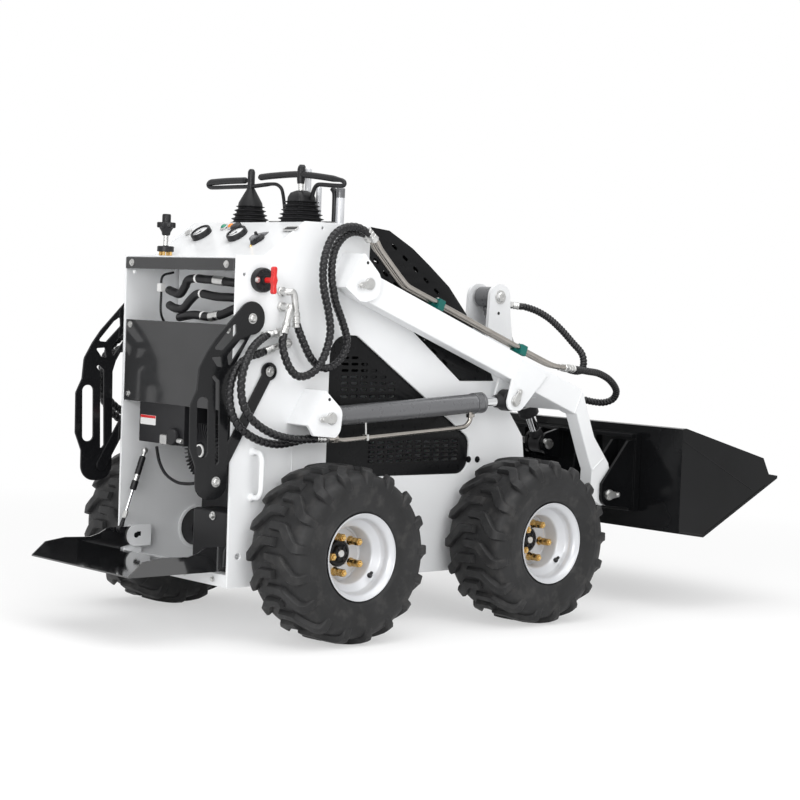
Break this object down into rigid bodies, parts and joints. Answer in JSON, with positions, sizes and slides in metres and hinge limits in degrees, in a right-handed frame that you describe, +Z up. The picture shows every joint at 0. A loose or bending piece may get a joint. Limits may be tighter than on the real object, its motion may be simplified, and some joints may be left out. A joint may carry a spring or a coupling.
{
  "type": "stand-on mini skid steer loader",
  "caption": "Compact stand-on skid steer loader: four driven wheels, lift arms with hydraulic cylinders and a tilting bucket, and a fold-up operator platform.",
  "frame": {"origin": "middle of the footprint, on the ground, with the bucket and the platform included", "axes": "+Z up, -Y towards the bucket, +Y towards the operator's platform, -X the machine's right side"},
  "size_m": [1.06, 2.318, 1.297],
  "materials": {
    "white_paint": "white powder coat, satin",
    "black_paint": "black powder coat, satin",
    "gunmetal_paint": "dark grey metallic paint",
    "engine_casting": "black painted casting",
    "rim_paint": "light silver wheel paint",
    "tyre_rubber": "moulded black rubber",
    "hose_rubber": "black hose in a spiral plastic guard",
    "chrome_rod": "hard chrome plated",
    "zinc_steel": "zinc plated steel",
    "black_plastic": "moulded black plastic"
  },
  "bodies": {
    "chassis": {"side_plate_right": "white_paint", "side_plate_left": "white_paint", "belly_pan": "white_paint", "front_cover": "white_paint", "hood": "black_paint", "console_panel": "white_paint", "rear_top_bar": "black_paint", "rear_cover": "black_paint", "engine_block": "engine_casting", "fuel_tank": "black_plastic", "battery_box": "black_plastic", "vent_panel_right": "black_paint", "vent_panel_left": "black_paint", "arm_bracket_right": "white_paint", "lift_bracket_right": "white_paint", "arm_bracket_left": "white_paint", "lift_bracket_left": "white_paint", "hip_guard_right": "black_paint", "hip_guard_left": "black_paint", "grab_handle_right": "white_paint", "grab_handle_left": "white_paint", "battery_isolator": "black_plastic", "drive_lever_left": "black_plastic", "drive_lever_right": "black_plastic", "lever_bank": "zinc_steel", "filler_post": "black_plastic", "wheel_motors_front": "engine_casting", "wheel_motors_rear": "engine_casting", "tilt_hose_base": "hose_rubber", "tilt_hose_rod": "hose_rubber", "lift_hose_base_right": "hose_rubber", "lift_hose_rod_right": "hose_rubber", "lift_hose_base_left": "hose_rubber", "lift_hose_rod_left": "hose_rubber"},
    "wheel_front_right": {"tyre_front_right": "tyre_rubber", "rim_front_right": "rim_paint"},
    "wheel_front_left": {"tyre_front_left": "tyre_rubber", "rim_front_left": "rim_paint"},
    "wheel_rear_right": {"tyre_rear_right": "tyre_rubber", "rim_rear_right": "rim_paint"},
    "wheel_rear_left": {"tyre_rear_left": "tyre_rubber", "rim_rear_left": "rim_paint"},
    "lift_arm": {"arm_right": "white_paint", "arm_left": "white_paint", "arm_cross_member": "white_paint", "arm_lines": "zinc_steel", "tilt_hose_front_base": "hose_rubber", "tilt_hose_front_rod": "hose_rubber"},
    "lift_barrel_right": {"lift_barrel_right": "gunmetal_paint"},
    "lift_rod_right": {"lift_rod_right": "chrome_rod"},
    "lift_barrel_left": {"lift_barrel_left": "gunmetal_paint"},
    "lift_rod_left": {"lift_rod_left": "chrome_rod"},
    "tilt_barrel": {"tilt_barrel": "gunmetal_paint"},
    "tilt_rod": {"tilt_rod": "chrome_rod"},
    "bucket": {"bucket": "black_paint", "attachment_frame": "black_paint"},
    "platform": {"platform_deck": "black_paint"},
    "spring_barrel": {"spring_barrel": "black_paint"},
    "spring_rod": {"spring_rod": "chrome_rod"}
  },
  "joints": [
    {"name": "wheel_front_right_spin", "type": "hinge", "parent": "chassis", "child": "wheel_front_right", "pos_m": [-0.4035, -0.135, 0.2425], "axis": [1, 0, 0], "continuous": true},
    {"name": "wheel_front_left_spin", "type": "hinge", "parent": "chassis", "child": "wheel_front_left", "pos_m": [0.4035, -0.135, 0.2425], "axis": [1, 0, 0], "continuous": true},
    {"name": "wheel_rear_right_spin", "type": "hinge", "parent": "chassis", "child": "wheel_rear_right", "pos_m": [-0.4035, 0.593, 0.2425], "axis": [1, 0, 0], "continuous": true},
    {"name": "wheel_rear_left_spin", "type": "hinge", "parent": "chassis", "child": "wheel_rear_left", "pos_m": [0.4035, 0.593, 0.2425], "axis": [1, 0, 0], "continuous": true},
    {"name": "lift_arm_raise", "type": "hinge", "parent": "chassis", "child": "lift_arm", "pos_m": [0, 0.479, 0.977], "axis": [-1, 0, 0], "range_deg": [-7.5, 72], "deforming": ["tilt_hose_base", "tilt_hose_rod"]},
    {"name": "bucket_dump", "type": "hinge", "parent": "lift_arm", "child": "bucket", "pos_m": [0, -0.541, 0.356], "axis": [1, 0, 0], "range_deg": [-8, 102]},
    {"name": "platform_fold", "type": "hinge", "parent": "chassis", "child": "platform", "pos_m": [0, 0.821, 0.23], "axis": [1, 0, 0], "range_deg": [0, 85]},
    {"name": "lift_barrel_right_swing", "type": "hinge", "parent": "chassis", "child": "lift_barrel_right", "pos_m": [-0.318, 0.597, 0.606], "axis": [-1, 0, 0], "range_deg": [-6, 51], "deforming": ["lift_hose_base_right", "lift_hose_rod_right"]},
    {"name": "lift_rod_right_slide", "type": "slide", "parent": "lift_barrel_right", "child": "lift_rod_right", "axis": [0, -0.998, 0.0629], "range_m": [-0.037, 0.332]},
    {"name": "lift_barrel_left_swing", "type": "hinge", "parent": "chassis", "child": "lift_barrel_left", "pos_m": [0.318, 0.597, 0.606], "axis": [-1, 0, 0], "range_deg": [-6, 51], "deforming": ["lift_hose_base_left", "lift_hose_rod_left"]},
    {"name": "lift_rod_left_slide", "type": "slide", "parent": "lift_barrel_left", "child": "lift_rod_left", "axis": [0, -0.998, 0.0629], "range_m": [-0.037, 0.332]},
    {"name": "tilt_barrel_swing", "type": "hinge", "parent": "lift_arm", "child": "tilt_barrel", "pos_m": [0, -0.329, 0.959], "axis": [1, 0, 0], "range_deg": [-1, 2], "deforming": ["tilt_hose_front_base", "tilt_hose_front_rod"]},
    {"name": "tilt_rod_slide", "type": "slide", "parent": "tilt_barrel", "child": "tilt_rod", "axis": [0, -0.4806, -0.877], "range_m": [-0.02, 0.221]},
    {"name": "spring_barrel_swing", "type": "hinge", "parent": "chassis", "child": "spring_barrel", "pos_m": [0.225, 0.805, 0.475], "axis": [1, 0, 0], "range_deg": [-19, 1]},
    {"name": "spring_rod_slide", "type": "slide", "parent": "spring_barrel", "child": "spring_rod", "axis": [0, 0.3162, -0.9487], "range_m": [-0.063, 0.002]}
  ],
  "couplings": [
    {"joint": "lift_barrel_right_swing", "follows": "lift_arm_raise", "ratio": 0.7},
    {"joint": "lift_rod_right_slide", "follows": "lift_arm_raise", "m_per_rad": 0.262},
    {"joint": "lift_barrel_left_swing", "follows": "lift_arm_raise", "ratio": 0.7},
    {"joint": "lift_rod_left_slide", "follows": "lift_arm_raise", "m_per_rad": 0.262},
    {"joint": "tilt_barrel_swing", "follows": "bucket_dump", "ratio": 0.012},
    {"joint": "tilt_rod_slide", "follows": "bucket_dump", "m_per_rad": 0.1226},
    {"joint": "spring_barrel_swing", "follows": "platform_fold", "ratio": -0.212},
    {"joint": "spring_rod_slide", "follows": "platform_fold", "m_per_rad": -0.0408}
  ]
}
